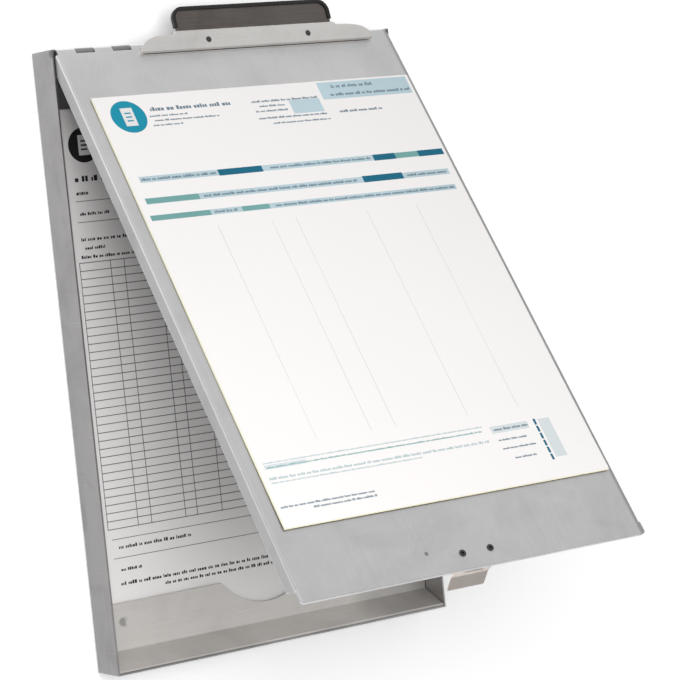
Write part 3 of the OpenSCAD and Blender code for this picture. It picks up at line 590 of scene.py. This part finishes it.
TEAL, DEEP_TEAL, SEA = (0.011, 0.29, 0.42), (0.011, 0.145, 0.235), (0.19, 0.41, 0.395)
PALE, PALEST, SYMBOL_WHITE = (0.51, 0.65, 0.705), (0.70, 0.755, 0.775), (0.82, 0.80, 0.795)
SLATE, PALE_SLATE, FAINT_GREY = (0.165, 0.235, 0.29), (0.465, 0.58, 0.60), (0.755, 0.745, 0.745)

lid_print("form_disc", [], TEAL, [(18, 14.5, 11)])
lid_print("form_symbol", [(14.2, 8.4, 7.6, 12.4)], SYMBOL_WHITE, over=OVER_ONE)
lid_print("form_symbol_lines", [(16, 11.6, 4, 0.9), (16, 14.2, 4, 0.9), (16, 16.8, 4, 0.9)], TEAL,
          over=OVER_TWO)
lid_print("form_tints", [(149, 1.2, 64, 12.2), (125, 12, 21, 9.5), (7, 55.2, 206, 4.0), (5, 69.6, 205, 4.0),
                         (3.5, 81.0, 206, 3.6)], PALE)
lid_print("form_foot_tints", [(184.5, 241.5, 8, 25), (151, 241.5, 26, 4.5), (4, 241.8, 26, 2.6)], PALEST)

side_dashes = [(181.4, 241 + 4.6 * step, 1.5, 3.8) for step in range(6)]
lid_print("form_deep_bars", [(57.6, 55.2, 29, 4.2), (163, 55.2, 15.5, 4.2), (195, 55.2, 18, 4.2),
                             (149, 69.2, 28, 4.4)] + side_dashes, DEEP_TEAL, over=OVER_ONE)
lid_print("form_sea_bars", [(5, 69.8, 34, 3.6), (3.5, 81.2, 38, 3.4), (178.5, 55.4, 16.5, 3.8),
                            (62, 81.2, 18, 3.2)] + text_line(5, 145, 243.4, 1.0, 21, 16), SEA, over=OVER_ONE)

title_and_addresses = (
    (33, 88, 10.5, 2.7, 22, 9), (31, 55, 15.2, 1.2, 23), (33, 75, 18.4, 1.2, 24), (31, 50, 21.6, 1.2, 25),
    (100, 147, 11.0, 1.5, 26), (104, 122, 14.5, 1.3, 27), (100, 122, 18.0, 1.3, 28), (100, 147, 23.0, 1.4, 29),
    (108, 147, 27.0, 1.2, 30), (158, 187, 4.4, 2.2, 31, 9), (155, 212, 10.2, 2.0, 32, 9),
    (156, 186, 22.5, 1.8, 33))
bar_headings = (
    (8, 56, 57.2, 1.7, 34, 9), (92, 160, 57.2, 1.5, 35, 9), (42, 146, 71.6, 1.6, 36, 9),
    (180, 208, 71.6, 1.5, 37, 9), (44, 60, 82.8, 1.5, 38, 9), (84, 208, 82.8, 1.5, 39, 9))
foot_notes = (
    (3, 61, 267.2, 1.3, 40), (22, 62, 269.9, 1.3, 41), (153, 176, 243.7, 1.6, 42), (153, 172, 250.5, 1.2, 43),
    (153, 176, 256.0, 1.2, 44), (158, 172, 262.5, 1.3, 45))
small_print = ((4, 146, 240.6, 0.9, 46), (4, 146, 250.0, 1.6, 47), (4, 100, 252.6, 1.0, 48))
lid_print("form_text", text_lines(title_and_addresses + bar_headings + foot_notes), SLATE, over=0.05)
lid_print("form_small_print", text_lines(small_print), PALE_SLATE, over=0.02)

COLUMN_HEAD, COLUMN_L, COLUMN_PLACES = 92, 140, (42, 77, 93, 141, 176)
lid_print("form_columns", [(column, COLUMN_HEAD, 0.4, COLUMN_L) for column in COLUMN_PLACES], FAINT_GREY)

# --- Catch at the foot ----------------------------------------------------
# A thin spring-steel plate riveted under the lid's foot, and the bent arm
# that snaps into the tray's slot. Two dark rivets and a flush one hold it.
catch_strip = metal_finish("catch_strip", (0.97, 0.88, 0.82), 0.45, fineness=(1400, 30, 30), tilt=LID_TILT,
                           grain=0.05, rub_and_sheen=0.4, edge=0.0003)
dress("catch_plate", catch_strip)
dress("catch_arm", catch_strip)
dark_rivet = metal_finish("blackened_rivet", (0.15, 0.14, 0.14), 0.6, fineness=(700, 700, 700), rub_and_sheen=0.4,
                          edge=0.0004, smudges=0.3)
dress("catch_rivets", dark_rivet)
dress("catch_flush_rivet", metal_finish("flush_rivet", (0.42, 0.42, 0.43), 0.4, fineness=(900, 900, 900),
                                        tilt=LID_TILT, rub_and_sheen=0.3, edge=0.0003))

# --- Clip foot and pin ----------------------------------------------------
# The clip's nickel-plated foot strip is riveted along the head of the lid,
# and its two ears carry a drawn steel pin with peened ends.
nickel_plate = metal_finish("nickel_plate", (0.94, 0.915, 0.89), 0.34, fineness=(30, 1300, 1300), tilt=LID_TILT,
                            grain=0.025, cloud=0.04, scratches=0.2, smudges=0.1, rub_and_sheen=0.15, edge=0.0005,
                            relief=0.12)
dress("clip_base", nickel_plate)
dress("clip_base_rivets", rivet_aluminium)
dress("clip_pin", pin_steel)

# --- Torsion springs ------------------------------------------------------
# Two springs of drawn wire round the pin hold the jaw shut.
spring_wire = metal_finish("spring_wire", (0.5, 0.5, 0.52), 0.3, fineness=(900, 900, 900), grain=0.08, rub_and_sheen=0.0,
                           edge=0.0001)
dress("spring_left", spring_wire)
dress("spring_right", spring_wire)

# --- Jaw ------------------------------------------------------------------
# A pressed and nickel-plated bar with a folded lip, which nips the paper on
# a strip of black rubber.
dress("clip_jaw", nickel_plate)
dress("jaw_grip", metal_finish("grip_rubber", (0.03, 0.03, 0.03), 0.75, fineness=(400, 400, 400), grain=0.3,
                               rub_and_sheen=0.6, metallic=0.0))

# --- Thumb lever ----------------------------------------------------------
# A steel plate with a dull dark finish, riveted under the jaw, with a
# near-black edging along its free edge.
dress("clip_lever", metal_finish("lever_steel", (0.20, 0.18, 0.166), 0.42, fineness=(30, 1300, 1300), tilt=LID_TILT,
                                 grain=0.12, cloud=0.12, scratches=0.3, smudges=0.15, rub_and_sheen=0.4))
dress("lever_edging", metal_finish("edging_vinyl", (0.012, 0.011, 0.010), 0.45, fineness=(500, 500, 500), grain=0.15,
                                   scratches=0.5, rub_and_sheen=0.7, edge=0.0005, metallic=0.0))
dress("lever_rivets", dark_rivet)
